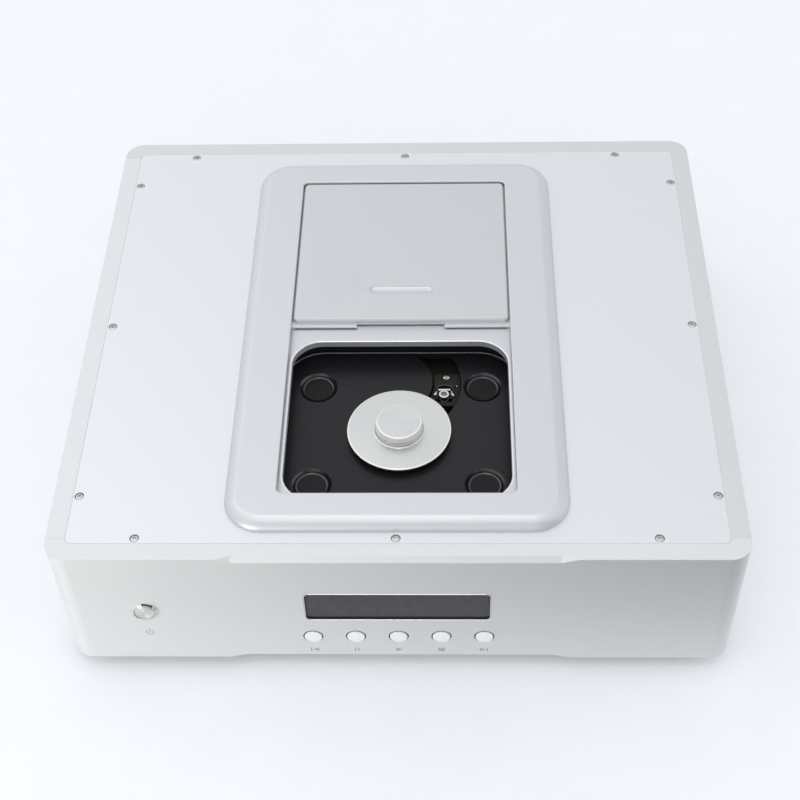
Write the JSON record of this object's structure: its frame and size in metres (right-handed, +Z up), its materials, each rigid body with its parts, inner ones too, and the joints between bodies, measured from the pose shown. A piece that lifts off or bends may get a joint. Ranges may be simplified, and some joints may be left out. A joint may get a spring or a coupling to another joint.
{
  "type": "cd transport",
  "caption": "Top-loading compact disc transport: aluminium case, raised frame with a hand-slid lid over the disc well, lift-off clamp, swing-arm pickup, front display and push buttons.",
  "frame": {"origin": "on the floor below the middle of the case", "axes": "+Z up, the front panel faces -Y, +X to the right seen from the front"},
  "size_m": [0.43, 0.3956, 0.1276],
  "materials": {
    "case_aluminium": "fine bead-blasted, clear anodised",
    "cover_aluminium": "fine brushed, clear anodised",
    "frame_aluminium": "satin anodised",
    "lid_aluminium": "satin anodised with bright edges",
    "button_aluminium": "fine satin, bright",
    "turned_aluminium": "turned, clear anodised",
    "plain_aluminium": "mill finish",
    "base_steel": "black powder coat",
    "screw_steel": "plain steel",
    "black_anodised": "black anodised, satin",
    "rubber": "matt",
    "black_plastic": "moulded",
    "glide_plastic": "low-friction sheet",
    "bright_steel": "ground",
    "chrome_ring": "polished",
    "motor_steel": "plated",
    "copper_winding": "enamelled winding",
    "lens_holder_plastic": "moulded",
    "lens_glass": "coated",
    "smoked_acrylic": "polished",
    "circuit_board": "solder mask",
    "gold_brass": "plated",
    "jack_metal": "black nickel"
  },
  "bodies": {
    "chassis": {"front_panel": "case_aluminium", "rear_panel": "case_aluminium", "left_side_panel": "case_aluminium", "right_side_panel": "case_aluminium", "top_cover": "cover_aluminium", "lid_bezel": "frame_aluminium", "track_plate": "frame_aluminium", "feet": "turned_aluminium", "deck_pillars": "turned_aluminium", "corner_brackets": "plain_aluminium", "base_plate": "base_steel", "cover_screws": "screw_steel", "base_screws": "screw_steel", "foot_screws": "screw_steel", "bezel_screws": "screw_steel", "well_shroud": "black_anodised", "deck_plate": "black_anodised", "foot_pads": "rubber", "dampers": "rubber", "window_gasket": "rubber", "damper_caps": "black_plastic", "lid_sensor": "black_plastic", "mains_inlet": "black_plastic", "pivot_shaft": "bright_steel", "pivot_clip": "bright_steel", "power_switch_nut": "bright_steel", "transformer_clamp": "bright_steel", "power_switch": "chrome_ring", "spindle_motor": "motor_steel", "radial_yoke": "motor_steel", "power_transformer": "copper_winding", "display_window": "smoked_acrylic", "servo_board": "circuit_board", "display_module": "circuit_board", "button_board": "circuit_board", "main_board": "circuit_board", "supply_board": "circuit_board", "coax_jack": "gold_brass", "board_standoffs": "gold_brass", "aes_jack": "jack_metal"},
    "lid": {"lid": "lid_aluminium", "lid_slider": "lid_aluminium", "lid_screws": "screw_steel", "lid_glides": "glide_plastic"},
    "previous_key": {"previous_button": "button_aluminium"},
    "pause_key": {"pause_button": "button_aluminium"},
    "play_key": {"play_button": "button_aluminium"},
    "stop_key": {"stop_button": "button_aluminium"},
    "next_key": {"next_button": "button_aluminium"},
    "power_key": {"power_button": "bright_steel"},
    "spindle": {"spindle_shaft": "bright_steel", "spindle_hub": "bright_steel"},
    "clamp": {"disc_clamp": "turned_aluminium", "clamp_magnet": "motor_steel"},
    "pickup": {"pickup_arm": "black_plastic", "pivot_bearings": "bright_steel", "radial_coil": "copper_winding", "actuator_yoke": "bright_steel"},
    "lens": {"lens_holder": "lens_holder_plastic", "objective_lens": "lens_glass"}
  },
  "joints": [
    {"name": "lid_slide", "type": "slide", "parent": "chassis", "child": "lid", "axis": [0, -1, 0], "range_m": [0, 0.149]},
    {"name": "previous_press", "type": "slide", "parent": "chassis", "child": "previous_key", "axis": [0, 1, 0], "range_m": [0, 0.0008], "stiffness_N_per_m": 900, "springref_m": -0.0004},
    {"name": "pause_press", "type": "slide", "parent": "chassis", "child": "pause_key", "axis": [0, 1, 0], "range_m": [0, 0.0008], "stiffness_N_per_m": 900, "springref_m": -0.0004},
    {"name": "play_press", "type": "slide", "parent": "chassis", "child": "play_key", "axis": [0, 1, 0], "range_m": [0, 0.0008], "stiffness_N_per_m": 900, "springref_m": -0.0004},
    {"name": "stop_press", "type": "slide", "parent": "chassis", "child": "stop_key", "axis": [0, 1, 0], "range_m": [0, 0.0008], "stiffness_N_per_m": 900, "springref_m": -0.0004},
    {"name": "next_press", "type": "slide", "parent": "chassis", "child": "next_key", "axis": [0, 1, 0], "range_m": [0, 0.0008], "stiffness_N_per_m": 900, "springref_m": -0.0004},
    {"name": "power_press", "type": "slide", "parent": "chassis", "child": "power_key", "axis": [0, 1, 0], "range_m": [0, 0.0015], "stiffness_N_per_m": 1200, "springref_m": -0.0004},
    {"name": "spindle_spin", "type": "hinge", "parent": "chassis", "child": "spindle", "pos_m": [0, -0.0834, 0.1], "axis": [0, 0, 1], "continuous": true},
    {"name": "clamp_lift", "type": "slide", "parent": "spindle", "child": "clamp", "axis": [0, 0, 1], "range_m": [0, 0.06]},
    {"name": "pickup_swing", "type": "hinge", "parent": "chassis", "child": "pickup", "pos_m": [-0.0077, -0.0369, 0.09], "axis": [0, 0, 1], "range_deg": [-35.5, 19.5]},
    {"name": "lens_focus", "type": "slide", "parent": "pickup", "child": "lens", "axis": [0, 0, 1], "range_m": [-0.0006, 0.0006], "stiffness_N_per_m": 40}
  ]
}
